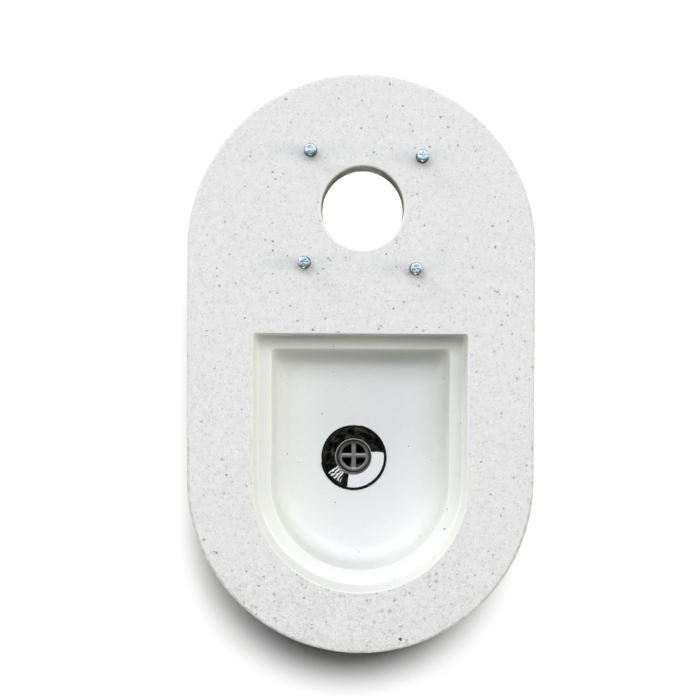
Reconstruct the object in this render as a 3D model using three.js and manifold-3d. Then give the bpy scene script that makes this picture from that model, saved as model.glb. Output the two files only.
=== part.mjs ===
// Head of a public drinking fountain: a precast terrazzo slab with a tap hole, four tap studs,
// a two-step basin and a chromed basin waste.
// Millimetres. +Z is up in use, +Y points to the tap end, -Y to the drinker.
// X = 0, Y = 0 is the middle of the slab, Z = 0 is the lower end of the waste.

import * as THREE from 'three';
import * as BufferGeometryUtils from 'three/addons/utils/BufferGeometryUtils.js';
import Module from 'manifold-3d';

const wasm = await Module();
wasm.setup();

// ---------------------------------------------------------------- driving dimensions

const TOP = 149;                  // height of the slab's ground top face
const GAP = 0.3;                  // air left between touching pieces

const SLAB_WIDTH = 300;
const SLAB_LENGTH = 500;
const SLAB_THICKNESS = 40;
const SLAB_ARRIS = 2.5;           // rounded edge of the slab

const TAP_HOLE_RADIUS = 35.7;
const TAP_HOLE_X = 1;
const TAP_HOLE_Y = 135.7;

const STUD_PITCH = 96;            // side of the square of studs
const STUD_TURN = -3;             // degrees, the square is set slightly askew
const STUD_CENTRE_X = 1.7;
const STUD_CENTRE_Y = 133.8;
const STUD_RADIUS = 5;
const STUD_ABOVE = 12;
const STUD_BELOW = 13;
const STUD_CHAMFER = 1;
const STUD_CLEARANCE = 0.5;       // between the stud and its hole, per side

const WASHER_RADIUS = 10;
const WASHER_THICKNESS = 2;
const NUT_ACROSS_FLATS = 16;
const NUT_HEIGHT = 8;

const RIM_HALF_WIDTH = 92.7;      // upper recess, at the slab's top face
const RIM_REAR_Y = 27.3;
const RIM_CENTRE_Y = -104.2;      // centre of the recess's round front end
const RIM_CORNER = 3;
const LEDGE_DEPTH = 27;
const BOWL_HALF_WIDTH = 78.7;     // lower recess, inside the ledge
const BOWL_REAR_Y = 13.3;
const BOWL_CORNER = 4;
const FLOOR_DEPTH = 66;
const BOSS_WALL = 20;             // casting around and under the bowl

const DRAIN_X = -6;
const DRAIN_Y = -86.7;
const DRAIN_HOLE_RADIUS = 22;
const REBATE_RADIUS = 27.5;       // round pocket in the floor that takes the flange's body
const REBATE_DEPTH = 7.2;

const FLANGE_RADIUS = 30.4;
const FLANGE_PROUD = 1.9;         // the flange's lip above the basin floor
const FLANGE_BODY_RADIUS = 27;
const FLANGE_BODY_DEPTH = 5.4;    // the flange's underside below the basin floor
const LIP_WIDTH = 1.2;
const LIP_ROUND = 0.4;
const DISH_INNER_RADIUS = 17;
const DISH_FALL = 6;
const THROAT_RADIUS = 15.4;
const SEAT_DEPTH = 19;            // the strainer's seat below the flange's lip
const SEAT_THICKNESS = 3;
const SEAT_OPENING_RADIUS = 12.6;
const TAIL_BORE_RADIUS = 16.4;
const TAIL_RADIUS = 20.95;        // G 1 1/4 male thread
const TAIL_CHAMFER = 1;

const STRAINER_RADIUS = 14.9;
const STRAINER_OPENING_RADIUS = 11.6;
const STRAINER_HEIGHT = 3.6;
const STRAINER_ROUND = 0.8;
const STRAINER_BAR = 3.8;

const FLANGE_SEAL_THICKNESS = REBATE_DEPTH - FLANGE_BODY_DEPTH - 2 * GAP;
const LOWER_SEAL_RADIUS = 30;
const LOWER_SEAL_THICKNESS = 4;
const SLIP_WASHER_RADIUS = 29;
const SLIP_WASHER_THICKNESS = 1.5;
const RING_BORE_RADIUS = 21.4;    // rings that slide over the waste's tail
const BACKNUT_ACROSS_FLATS = 52;
const BACKNUT_HEIGHT = 9;

const SOCKET_RADIUS = 9;
const SOCKET_FOOT_RADIUS = 12;
const SOCKET_LENGTH = 28;
const SOCKET_FOOT_LENGTH = 4;
const SOCKET_BORE_RADIUS = 5.1;   // M12 tapping size
const SOCKET_BORE_DEPTH = 22;
const SOCKET_PLACES = [
  { name: 'rear_left', x: -118, y: 100 },
  { name: 'rear_right', x: 118, y: 100 },
  { name: 'front_left', x: -124, y: -85 },
  { name: 'front_right', x: 124, y: -85 },
];

const LARGE_ROUND = 44;           // sides of a large circle
const MEDIUM_ROUND = 32;
const SMALL_ROUND = 20;

// ---------------------------------------------------------------- levels

const UNDERSIDE = TOP - SLAB_THICKNESS;
const BASIN_FLOOR = TOP - FLOOR_DEPTH;
const BOSS_UNDERSIDE = BASIN_FLOOR - BOSS_WALL;
const LIP_TOP = BASIN_FLOOR + FLANGE_PROUD;
const SEAT_TOP = LIP_TOP - SEAT_DEPTH;
const LOWER_SEAL_TOP = BOSS_UNDERSIDE - GAP;
const SLIP_WASHER_TOP = LOWER_SEAL_TOP - LOWER_SEAL_THICKNESS - GAP;
const BACKNUT_TOP = SLIP_WASHER_TOP - SLIP_WASHER_THICKNESS - GAP;

// ---------------------------------------------------------------- materials

function material(color, roughness, metalness) {
  return new THREE.MeshStandardMaterial({ color, roughness, metalness });
}

const TERRAZZO = { color: 0xe7e7e4, roughness: 0.6, metalness: 0 };
const CHROME = { color: 0xe8eaec, roughness: 0.06, metalness: 1 };
const DULL_CHROME = { color: 0x8f9092, roughness: 0.4, metalness: 1 };
const BLUE_ZINC = { color: 0xb9cdd4, roughness: 0.35, metalness: 1 };
const GALVANISED = { color: 0x9ea3a5, roughness: 0.5, metalness: 1 };
const BRASS = { color: 0xb08d4c, roughness: 0.35, metalness: 1 };
const BLACK_RUBBER = { color: 0x1d1d1e, roughness: 0.85, metalness: 0 };
const WHITE_PLASTIC = { color: 0xdcdcd6, roughness: 0.5, metalness: 0 };

// ---------------------------------------------------------------- solids

// A geometry with merged corners as a solid that can be joined and cut.
function solidOf(geometry) {
  const bare = geometry.clone();
  bare.deleteAttribute('normal');
  bare.deleteAttribute('uv');
  const merged = BufferGeometryUtils.mergeVertices(bare, 1e-4);
  return new wasm.Manifold(new wasm.Mesh({
    numProp: 3,
    vertProperties: new Float32Array(merged.attributes.position.array),
    triVerts: new Uint32Array(merged.index.array),
  }));
}

function geometryOf(solid) {
  const mesh = solid.getMesh();
  const geometry = new THREE.BufferGeometry();
  geometry.setAttribute('position', new THREE.BufferAttribute(mesh.vertProperties, 3));
  geometry.setIndex(new THREE.BufferAttribute(mesh.triVerts, 1));
  geometry.computeVertexNormals();
  return geometry;
}

// A solid of revolution about Z. Each profile point is [radius, height]. A profile that leaves
// the axis is closed on itself.
function lathe(profile, segments) {
  const points = profile.map(([radius, height]) => new THREE.Vector2(radius, height));
  const onAxis = profile[0][0] === 0 && profile[profile.length - 1][0] === 0;
  if (!onAxis) {
    points.push(points[0].clone());
  }
  const geometry = new THREE.LatheGeometry(points, segments);
  geometry.rotateX(Math.PI / 2);
  return geometry;
}

// A round plug from one height to another, used as a cutter or a plain disc.
function disc(radius, low, high, segments) {
  return lathe([[0, low], [radius, low], [radius, high], [0, high]], segments);
}

// A flat ring with square edges.
function ring(inner, outer, low, high, segments) {
  return lathe([[inner, low], [outer, low], [outer, high], [inner, high]], segments);
}

// A shape in plan, raised from one height to another.
function prism(shape, low, high, curveSegments) {
  const geometry = new THREE.ExtrudeGeometry(shape, {
    depth: high - low,
    bevelEnabled: false,
    curveSegments,
  });
  geometry.translate(0, 0, low);
  return geometry;
}

// ---------------------------------------------------------------- outlines

// Straight sides between two round ends.
function slabOutline() {
  const radius = SLAB_WIDTH / 2;
  const reach = SLAB_LENGTH / 2 - radius;
  const shape = new THREE.Shape();
  shape.moveTo(radius, -reach);
  shape.lineTo(radius, reach);
  shape.absarc(0, reach, radius, 0, Math.PI, false);
  shape.lineTo(-radius, -reach);
  shape.absarc(0, -reach, radius, Math.PI, 2 * Math.PI, false);
  return shape;
}

// A straight rear edge with rounded corners, straight sides and a round front end.
function basinOutline(halfWidth, rearY, corner) {
  const left = -halfWidth;
  const right = halfWidth;
  const shape = new THREE.Shape();
  shape.moveTo(right, RIM_CENTRE_Y);
  shape.lineTo(right, rearY - corner);
  shape.absarc(right - corner, rearY - corner, corner, 0, Math.PI / 2, false);
  shape.lineTo(left + corner, rearY);
  shape.absarc(left + corner, rearY - corner, corner, Math.PI / 2, Math.PI, false);
  shape.lineTo(left, RIM_CENTRE_Y);
  shape.absarc(0, RIM_CENTRE_Y, halfWidth, Math.PI, 2 * Math.PI, false);
  return shape;
}

function hexagon(acrossFlats) {
  const reach = acrossFlats / Math.sqrt(3);
  const shape = new THREE.Shape();
  for (let corner = 0; corner < 6; corner += 1) {
    const angle = (corner * Math.PI) / 3;
    const x = reach * Math.cos(angle);
    const y = reach * Math.sin(angle);
    if (corner === 0) {
      shape.moveTo(x, y);
    } else {
      shape.lineTo(x, y);
    }
  }
  return shape;
}

// ---------------------------------------------------------------- places

function studPlaces() {
  const turn = THREE.MathUtils.degToRad(STUD_TURN);
  const corners = [
    { name: 'rear_left', right: -1, rear: 1 },
    { name: 'rear_right', right: 1, rear: 1 },
    { name: 'front_left', right: -1, rear: -1 },
    { name: 'front_right', right: 1, rear: -1 },
  ];
  return corners.map(({ name, right, rear }) => {
    const across = (right * STUD_PITCH) / 2;
    const along = (rear * STUD_PITCH) / 2;
    return {
      name,
      x: STUD_CENTRE_X + across * Math.cos(turn) - along * Math.sin(turn),
      y: STUD_CENTRE_Y + across * Math.sin(turn) + along * Math.cos(turn),
    };
  });
}

// ---------------------------------------------------------------- the casting

function slab() {
  const geometry = new THREE.ExtrudeGeometry(slabOutline(), {
    depth: SLAB_THICKNESS - 2 * SLAB_ARRIS,
    bevelEnabled: true,
    bevelThickness: SLAB_ARRIS,
    bevelSize: SLAB_ARRIS,
    bevelOffset: -SLAB_ARRIS,
    bevelSegments: 2,
    curveSegments: MEDIUM_ROUND,
  });
  geometry.translate(0, 0, UNDERSIDE + SLAB_ARRIS);
  return geometry;
}

// The socket's outer form grown by the gap, open at the underside.
function socketPocket() {
  const top = UNDERSIDE + SOCKET_LENGTH + GAP;
  const footLow = UNDERSIDE + SOCKET_LENGTH - SOCKET_FOOT_LENGTH - GAP;
  return lathe([
    [0, UNDERSIDE - 1],
    [SOCKET_RADIUS + GAP, UNDERSIDE - 1],
    [SOCKET_RADIUS + GAP, footLow],
    [SOCKET_FOOT_RADIUS + GAP, footLow],
    [SOCKET_FOOT_RADIUS + GAP, top],
    [0, top],
  ], SMALL_ROUND);
}

function fountainBody() {
  const overcut = 1;
  const bossShape = basinOutline(BOWL_HALF_WIDTH + BOSS_WALL, BOWL_REAR_Y + BOSS_WALL, BOSS_WALL);
  const rimShape = basinOutline(RIM_HALF_WIDTH, RIM_REAR_Y, RIM_CORNER);
  const bowlShape = basinOutline(BOWL_HALF_WIDTH, BOWL_REAR_Y, BOWL_CORNER);
  const boss = prism(bossShape, BOSS_UNDERSIDE, UNDERSIDE + SLAB_ARRIS, SMALL_ROUND);
  const rimRecess = prism(rimShape, TOP - LEDGE_DEPTH, TOP + overcut, SMALL_ROUND);
  const bowl = prism(bowlShape, BASIN_FLOOR, TOP, SMALL_ROUND);
  const tapHole = disc(TAP_HOLE_RADIUS, UNDERSIDE - overcut, TOP + overcut, LARGE_ROUND);
  tapHole.translate(TAP_HOLE_X, TAP_HOLE_Y, 0);
  const drainHole = disc(DRAIN_HOLE_RADIUS, BOSS_UNDERSIDE - overcut, TOP, LARGE_ROUND);
  drainHole.translate(DRAIN_X, DRAIN_Y, 0);
  const rebate = disc(REBATE_RADIUS, BASIN_FLOOR - REBATE_DEPTH, TOP, LARGE_ROUND);
  rebate.translate(DRAIN_X, DRAIN_Y, 0);

  let casting = solidOf(slab()).add(solidOf(boss));
  for (const cutter of [rimRecess, bowl, tapHole, drainHole, rebate]) {
    casting = casting.subtract(solidOf(cutter));
  }
  for (const stud of studPlaces()) {
    const radius = STUD_RADIUS + STUD_CLEARANCE;
    const studHole = disc(radius, UNDERSIDE - overcut, TOP + overcut, SMALL_ROUND);
    studHole.translate(stud.x, stud.y, 0);
    casting = casting.subtract(solidOf(studHole));
  }
  for (const socket of SOCKET_PLACES) {
    const pocket = socketPocket();
    pocket.translate(socket.x, socket.y, 0);
    casting = casting.subtract(solidOf(pocket));
  }
  return geometryOf(casting);
}

// ---------------------------------------------------------------- tap studs

function studGeometry() {
  const low = -SLAB_THICKNESS - STUD_BELOW;
  return lathe([
    [0, low],
    [STUD_RADIUS - STUD_CHAMFER, low],
    [STUD_RADIUS, low + STUD_CHAMFER],
    [STUD_RADIUS, STUD_ABOVE - STUD_CHAMFER],
    [STUD_RADIUS - STUD_CHAMFER, STUD_ABOVE],
    [0, STUD_ABOVE],
  ], SMALL_ROUND);
}

function studWasherGeometry() {
  const high = -SLAB_THICKNESS - GAP;
  const inner = STUD_RADIUS + STUD_CLEARANCE;
  return ring(inner, WASHER_RADIUS, high - WASHER_THICKNESS, high, SMALL_ROUND);
}

function studNutGeometry() {
  const high = -SLAB_THICKNESS - WASHER_THICKNESS - 2 * GAP;
  const shape = hexagon(NUT_ACROSS_FLATS);
  const bore = new THREE.Path();
  bore.absarc(0, 0, STUD_RADIUS + GAP, 0, 2 * Math.PI, true);
  shape.holes.push(bore);
  return prism(shape, high - NUT_HEIGHT, high, SMALL_ROUND / 2);
}

// ---------------------------------------------------------------- basin waste

function wasteBodyGeometry() {
  const flangeUnderside = BASIN_FLOOR - FLANGE_BODY_DEPTH;
  const lipUnderside = BASIN_FLOOR + GAP;
  const dishLow = LIP_TOP - DISH_FALL;
  return lathe([
    [TAIL_BORE_RADIUS, 0],
    [TAIL_RADIUS - TAIL_CHAMFER, 0],
    [TAIL_RADIUS, TAIL_CHAMFER],
    [TAIL_RADIUS, flangeUnderside],
    [FLANGE_BODY_RADIUS, flangeUnderside],
    [FLANGE_BODY_RADIUS, lipUnderside],
    [FLANGE_RADIUS, lipUnderside],
    [FLANGE_RADIUS, LIP_TOP - LIP_ROUND],
    [FLANGE_RADIUS - LIP_ROUND, LIP_TOP],
    [FLANGE_RADIUS - LIP_WIDTH, LIP_TOP],
    [DISH_INNER_RADIUS, dishLow],
    [THROAT_RADIUS, dishLow - (DISH_INNER_RADIUS - THROAT_RADIUS)],
    [THROAT_RADIUS, SEAT_TOP],
    [SEAT_OPENING_RADIUS, SEAT_TOP],
    [SEAT_OPENING_RADIUS, SEAT_TOP - SEAT_THICKNESS],
    [TAIL_BORE_RADIUS, SEAT_TOP - SEAT_THICKNESS],
  ], LARGE_ROUND);
}

// A ring with rounded top and bottom edges, joined by a cross of two bars.
function strainerGeometry() {
  const low = SEAT_TOP + GAP;
  const high = low + STRAINER_HEIGHT;
  const inner = STRAINER_OPENING_RADIUS;
  const outer = STRAINER_RADIUS;
  const round = STRAINER_ROUND;
  let grid = solidOf(lathe([
    [inner, low],
    [outer, low],
    [outer, high - round],
    [outer - round, high],
    [inner + round, high],
    [inner, high - round],
  ], MEDIUM_ROUND));
  const reach = 2 * inner + round;
  const barTop = high - round / 2;
  for (const turn of [0, Math.PI / 2]) {
    const bar = new THREE.BoxGeometry(reach, STRAINER_BAR, barTop - low);
    bar.translate(0, 0, (low + barTop) / 2);
    bar.rotateZ(turn);
    grid = grid.add(solidOf(bar));
  }
  return geometryOf(grid);
}

function flangeSealGeometry() {
  const low = BASIN_FLOOR - REBATE_DEPTH + GAP;
  const high = low + FLANGE_SEAL_THICKNESS;
  return ring(RING_BORE_RADIUS, FLANGE_BODY_RADIUS, low, high, MEDIUM_ROUND);
}

function lowerSealGeometry() {
  const low = LOWER_SEAL_TOP - LOWER_SEAL_THICKNESS;
  return ring(RING_BORE_RADIUS, LOWER_SEAL_RADIUS, low, LOWER_SEAL_TOP, MEDIUM_ROUND);
}

function slipWasherGeometry() {
  const low = SLIP_WASHER_TOP - SLIP_WASHER_THICKNESS;
  return ring(RING_BORE_RADIUS, SLIP_WASHER_RADIUS, low, SLIP_WASHER_TOP, MEDIUM_ROUND);
}

function backnutGeometry() {
  const shape = hexagon(BACKNUT_ACROSS_FLATS);
  const bore = new THREE.Path();
  bore.absarc(0, 0, RING_BORE_RADIUS, 0, 2 * Math.PI, true);
  shape.holes.push(bore);
  return prism(shape, BACKNUT_TOP - BACKNUT_HEIGHT, BACKNUT_TOP, SMALL_ROUND);
}

// ---------------------------------------------------------------- pedestal sockets

// A blind threaded socket, flush with the underside, with a wider foot held in the casting.
function socketGeometry() {
  const high = UNDERSIDE + SOCKET_LENGTH;
  return lathe([
    [0, UNDERSIDE + SOCKET_BORE_DEPTH],
    [SOCKET_BORE_RADIUS, UNDERSIDE + SOCKET_BORE_DEPTH],
    [SOCKET_BORE_RADIUS, UNDERSIDE],
    [SOCKET_RADIUS, UNDERSIDE],
    [SOCKET_RADIUS, high - SOCKET_FOOT_LENGTH],
    [SOCKET_FOOT_RADIUS, high - SOCKET_FOOT_LENGTH],
    [SOCKET_FOOT_RADIUS, high],
    [0, high],
  ], SMALL_ROUND);
}

// ---------------------------------------------------------------- assembly

const fountain = new THREE.Group();

function place(parent, name, geometry, look, x = 0, y = 0, z = 0) {
  const mesh = new THREE.Mesh(geometry, material(look.color, look.roughness, look.metalness));
  mesh.name = name;
  mesh.position.set(x, y, z);
  parent.add(mesh);
}

place(fountain, 'fountain_body', fountainBody(), TERRAZZO);

for (const stud of studPlaces()) {
  place(fountain, `tap_stud_${stud.name}`, studGeometry(), BLUE_ZINC, stud.x, stud.y, TOP);
  place(fountain, `stud_washer_${stud.name}`, studWasherGeometry(), BLUE_ZINC, stud.x, stud.y, TOP);
  place(fountain, `stud_nut_${stud.name}`, studNutGeometry(), BLUE_ZINC, stud.x, stud.y, TOP);
}

const drain = new THREE.Group();
drain.position.set(DRAIN_X, DRAIN_Y, 0);
fountain.add(drain);
place(drain, 'waste_body', wasteBodyGeometry(), CHROME);
place(drain, 'strainer_grid', strainerGeometry(), DULL_CHROME);
place(drain, 'flange_seal', flangeSealGeometry(), BLACK_RUBBER);
place(drain, 'lower_seal', lowerSealGeometry(), BLACK_RUBBER);
place(drain, 'slip_washer', slipWasherGeometry(), WHITE_PLASTIC);
place(drain, 'waste_backnut', backnutGeometry(), BRASS);

for (const socket of SOCKET_PLACES) {
  place(fountain, `pedestal_socket_${socket.name}`, socketGeometry(), GALVANISED, socket.x, socket.y);
}

export default fountain;
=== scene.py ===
# Looks of a drinking fountain head: a terrazzo casting with a two-step basin, four tap studs
# and a chromed waste. Metres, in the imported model's own frame: +Z up, +Y towards the tap end.
import math
import random

import bpy
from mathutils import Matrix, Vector, noise
from mathutils.geometry import tessellate_polygon


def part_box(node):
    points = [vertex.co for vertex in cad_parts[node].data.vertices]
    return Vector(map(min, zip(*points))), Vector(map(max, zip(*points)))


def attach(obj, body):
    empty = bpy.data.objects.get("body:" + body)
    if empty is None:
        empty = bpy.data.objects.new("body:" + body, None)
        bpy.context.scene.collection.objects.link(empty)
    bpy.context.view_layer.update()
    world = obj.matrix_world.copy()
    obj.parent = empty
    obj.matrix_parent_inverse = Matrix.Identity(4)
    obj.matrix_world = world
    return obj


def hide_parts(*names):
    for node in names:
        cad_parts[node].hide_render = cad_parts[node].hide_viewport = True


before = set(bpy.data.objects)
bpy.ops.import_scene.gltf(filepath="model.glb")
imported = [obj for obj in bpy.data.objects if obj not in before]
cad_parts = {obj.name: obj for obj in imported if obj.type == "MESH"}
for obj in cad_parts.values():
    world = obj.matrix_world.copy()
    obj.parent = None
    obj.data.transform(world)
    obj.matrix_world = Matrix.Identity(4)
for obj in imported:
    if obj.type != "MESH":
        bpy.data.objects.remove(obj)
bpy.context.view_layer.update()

MM = 0.001
DRAW = random.Random(7)

# ---------------------------------------------------------------- places taken from the frame

BODY_LOW, BODY_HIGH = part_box("fountain_body")
WASTE_LOW, WASTE_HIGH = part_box("waste_body")
TOP = BODY_HIGH.z
HALF_WIDTH = BODY_HIGH.x
HALF_LENGTH = BODY_HIGH.y
BOSS_BOTTOM = BODY_LOW.z
DRAIN = ((WASTE_LOW.x + WASTE_HIGH.x) / 2, (WASTE_LOW.y + WASTE_HIGH.y) / 2)
LIP_TOP = WASTE_HIGH.z
TAIL_END = WASTE_LOW.z

SIDES = ("rear_left", "rear_right", "front_left", "front_right")


def middle(node):
    low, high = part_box(node)
    return (low + high) / 2


STUDS = [middle("tap_stud_" + side) for side in SIDES]
SOCKETS = [middle("pedestal_socket_" + side) for side in SIDES]
SOCKET_LOW, SOCKET_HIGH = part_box("pedestal_socket_rear_left")
UNDERSIDE = SOCKET_LOW.z
STUD_LOW, STUD_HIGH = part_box("tap_stud_rear_left")

# ---------------------------------------------------------------- sizes of the casting

SLAB_ARRIS = 2.6 * MM
TAP_HOLE = (1 * MM, 135.7 * MM)
TAP_HOLE_RADIUS = 35.6 * MM
TAP_HOLE_ARRIS = 2.2 * MM

RIM_HALF_WIDTH = 92.7 * MM
RIM_REAR = 27.3 * MM
RIM_FRONT_CENTRE = -104.2 * MM
RIM_ARRIS = 0.9 * MM
RIM_CORNER = 2.6 * MM
LEDGE = TOP - 27 * MM
LEDGE_FILLET = 2.5 * MM
LEDGE_WIDTH = 14 * MM
BOWL_ARRIS = 1.6 * MM
BOWL_CORNER = 4 * MM
FLOOR = TOP - 66 * MM
FLOOR_FILLET = 14 * MM
FLOOR_FALL = 1.2 * MM
WALL_DRAFT = 1.2 * MM

BOSS_WALL = 20 * MM
BOSS_ARRIS = 5 * MM
BOSS_ROOT = 6 * MM
REBATE_RADIUS = 27.5 * MM
REBATE_DEPTH = 7.2 * MM
DRAIN_HOLE_RADIUS = 22 * MM
DRAIN_HOLE_ARRIS = 1 * MM

STUD_RADIUS = 5 * MM
STUD_HOLE_RADIUS = 5.35 * MM

SOCKET_RADIUS = 9 * MM
SOCKET_FOOT_RADIUS = 12 * MM
SOCKET_FOOT_HEIGHT = 4 * MM

# ---------------------------------------------------------------- mesh building


def polar(centre, radius, angle):
    """The flat place at this distance and angle from a centre."""
    return centre[0] + radius * math.cos(angle), centre[1] + radius * math.sin(angle)


def circle(centre, radius, height, count):
    step = 2 * math.pi / count
    return [(*polar(centre, radius, i * step), height) for i in range(count)]


def circles(centre, profile, count):
    """One circle for each (radius, height) of a profile."""
    return [circle(centre, radius, height, count) for radius, height in profile]


def arc(offset, height, radius, start, end, steps):
    """Profile points (offset, height) of a round between two angles in degrees."""
    points = []
    for i in range(steps + 1):
        angle = math.radians(start + (end - start) * i / steps)
        points.append(polar((offset, height), radius, angle))
    return points


def signed_area(points):
    total = 0.0
    for i, here in enumerate(points):
        after = points[(i + 1) % len(points)]
        total += here[0] * after[1] - after[0] * here[1]
    return total / 2


class Skin:
    """The vertices and faces of one piece, made of closed loops that run counter-clockwise."""

    def __init__(self):
        self.points = []
        self.faces = []
        self.finishes = []

    def loop(self, points):
        start = len(self.points)
        self.points.extend(points)
        return list(range(start, len(self.points)))

    def face(self, corners, finish):
        self.faces.append(corners)
        self.finishes.append(finish)

    def bridge(self, first, second, finish=0):
        """Faces look outwards when the second loop is above the first, inwards when it is below."""
        count = len(first)
        for i in range(count):
            j = (i + 1) % count
            self.face((first[i], first[j], second[j], second[i]), finish)

    def strip(self, rows, finish=0):
        """Bridges each row of points to the next. Returns the first and the last loop."""
        loops = [self.loop(row) for row in rows]
        for first, second in zip(loops, loops[1:]):
            self.bridge(first, second, finish)
        return loops[0], loops[-1]

    def cap(self, outer, holes=(), finish=0, up=True):
        """A flat face inside one loop and round the others."""
        rings = [outer, *holes]
        flat = [[Vector((*self.points[i][:2], 0)) for i in ring] for ring in rings]
        order = [i for ring in rings for i in ring]
        for triangle in tessellate_polygon(flat):
            corners = [order[i] for i in triangle]
            area = signed_area([self.points[i] for i in corners])
            if (area > 0) != up:
                corners.reverse()
            if area:
                self.face(tuple(corners), finish)

    def build(self, name, materials, sharp=40):
        mesh = bpy.data.meshes.new(name)
        mesh.from_pydata(self.points, [], self.faces)
        for material in materials:
            mesh.materials.append(material)
        mesh.polygons.foreach_set("material_index", self.finishes)
        mesh.polygons.foreach_set("use_smooth", [True] * len(self.faces))
        mesh.set_sharp_from_angle(angle=math.radians(sharp))
        mesh.update()
        piece = bpy.data.objects.new(name, mesh)
        bpy.context.collection.objects.link(piece)
        weighted = piece.modifiers.new("even_flats", "WEIGHTED_NORMAL")
        weighted.keep_sharp = True
        return piece


def seat(piece, node, body):
    """Puts a finished piece in place of its CAD node."""
    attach(piece, body)
    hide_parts(node)
    return piece


# ---------------------------------------------------------------- materials


class Nodes:
    """A node tree, with short calls for the nodes that it is built of."""

    def __init__(self, tree):
        self.tree = tree
        self.tree.nodes.clear()

    def node(self, kind, inputs=None, **settings):
        made = self.tree.nodes.new(kind)
        for key, value in settings.items():
            setattr(made, key, value)
        for key, value in (inputs or {}).items():
            if isinstance(value, bpy.types.NodeSocket):
                self.tree.links.new(value, made.inputs[key])
            else:
                made.inputs[key].default_value = value
        return made

    def noise(self, scale, detail=3.0, roughness=0.5, place=None):
        inputs = {"Vector": place or self.place, "Scale": scale, "Detail": detail}
        inputs["Roughness"] = roughness
        return self.node("ShaderNodeTexNoise", inputs).outputs["Fac"]

    def cells(self, scale, place=None):
        """Distance from the nearest cell's middle, and two random numbers per cell."""
        inputs = {"Vector": place or self.place, "Scale": scale}
        made = self.node("ShaderNodeTexVoronoi", inputs)
        split = self.node("ShaderNodeSeparateColor", {"Color": made.outputs["Color"]})
        return made.outputs["Distance"], split.outputs[0], split.outputs[1]

    def math(self, operation, first, second=0.0):
        return self.node("ShaderNodeMath", {0: first, 1: second}, operation=operation).outputs[0]

    def step(self, value, low, high):
        """0 at low, 1 at high, smooth between. Low may be the larger number."""
        inputs = {"Value": value, "From Min": low, "From Max": high}
        made = self.node("ShaderNodeMapRange", inputs, interpolation_type="SMOOTHSTEP")
        return made.outputs[0]

    def spread(self, value, low, high):
        """A 0 to 1 value spread evenly between two numbers."""
        inputs = {"Value": value, "To Min": low, "To Max": high}
        return self.node("ShaderNodeMapRange", inputs).outputs[0]

    def length(self, x, y):
        """Length of a flat vector."""
        square_x = self.math("MULTIPLY", x, x)
        square_y = self.math("MULTIPLY", y, y)
        return self.math("SQRT", self.math("ADD", square_x, square_y))

    def mix(self, factor, first, second):
        made = self.node("ShaderNodeMix", data_type="RGBA")
        for key, value in ((0, factor), (6, first), (7, second)):
            if isinstance(value, bpy.types.NodeSocket):
                self.tree.links.new(value, made.inputs[key])
            else:
                made.inputs[key].default_value = value if key == 0 else (*value, 1)
        return made.outputs[2]


class Shader(Nodes):
    """A principled material whose colour, roughness and relief come from nodes."""

    def __init__(self, name, metallic=0.0):
        self.material = bpy.data.materials.new(name)
        self.material.use_nodes = True
        super().__init__(self.material.node_tree)
        self.surface = self.tree.nodes.new("ShaderNodeBsdfPrincipled")
        self.surface.inputs["Metallic"].default_value = metallic
        output = self.tree.nodes.new("ShaderNodeOutputMaterial")
        self.tree.links.new(self.surface.outputs[0], output.inputs[0])
        self.place = self.tree.nodes.new("ShaderNodeTexCoord").outputs["Object"]

    def colour(self, value):
        self.tree.links.new(value, self.surface.inputs["Base Color"])

    def roughness(self, value):
        self.tree.links.new(value, self.surface.inputs["Roughness"])

    def relief(self, height, distance):
        """Relief of a 0 to 1 height, distance metres deep."""
        made = self.node("ShaderNodeBump", {"Height": height, "Distance": distance})
        self.tree.links.new(made.outputs[0], self.surface.inputs["Normal"])

    def attribute(self, name):
        return self.node("ShaderNodeAttribute", attribute_name=name).outputs["Fac"]


def grey(value):
    return (value, value, value)


# Chips of marble in the terrazzo: cells per metre, share of cells that are chips, the share
# that is added at the front end, darkest and lightest colour.
CHIP_KINDS = (
    (330.0, 0.10, 0.08, (0.655, 0.652, 0.645), (0.73, 0.728, 0.72)),
    (520.0, 0.12, 0.10, (0.61, 0.608, 0.602), (0.73, 0.728, 0.72)),
    (880.0, 0.10, 0.12, (0.58, 0.58, 0.575), (0.72, 0.72, 0.715)),
    (300.0, 0.0, 0.10, (0.54, 0.535, 0.525), (0.69, 0.685, 0.675)),
    (460.0, 0.010, 0.008, (0.28, 0.275, 0.265), (0.50, 0.49, 0.48)),
    (800.0, 0.06, 0.06, (0.82, 0.82, 0.82), (0.88, 0.88, 0.875)),
)
CHIP_WOBBLE_SCALE = 800.0
CHIP_WOBBLE = 2.2 * MM
# The chips get denser towards the front end.
FRONT_CHIPS_START = 100 * MM - HALF_LENGTH
FRONT_CHIPS_FULL = 38 * MM - HALF_LENGTH
# One large dark stone, close to the front end and to the right of the middle.
DARK_STONE = (35.5 * MM, 13 * MM - HALF_LENGTH)
DARK_STONE_RADIUS = 1.3 * MM
DARK_STONE_COLOUR = (0.07, 0.068, 0.065)
# Beige wear is scattered along the edge of the front end.
WORN_BAND = 15 * MM
WORN_START = 90 * MM - HALF_LENGTH
WORN_FULL = 50 * MM - HALF_LENGTH
SCATTER_SHARE = 0.7
PITTED_CELLS = 0.06
TERRAZZO_RELIEF = 0.22 * MM


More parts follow.
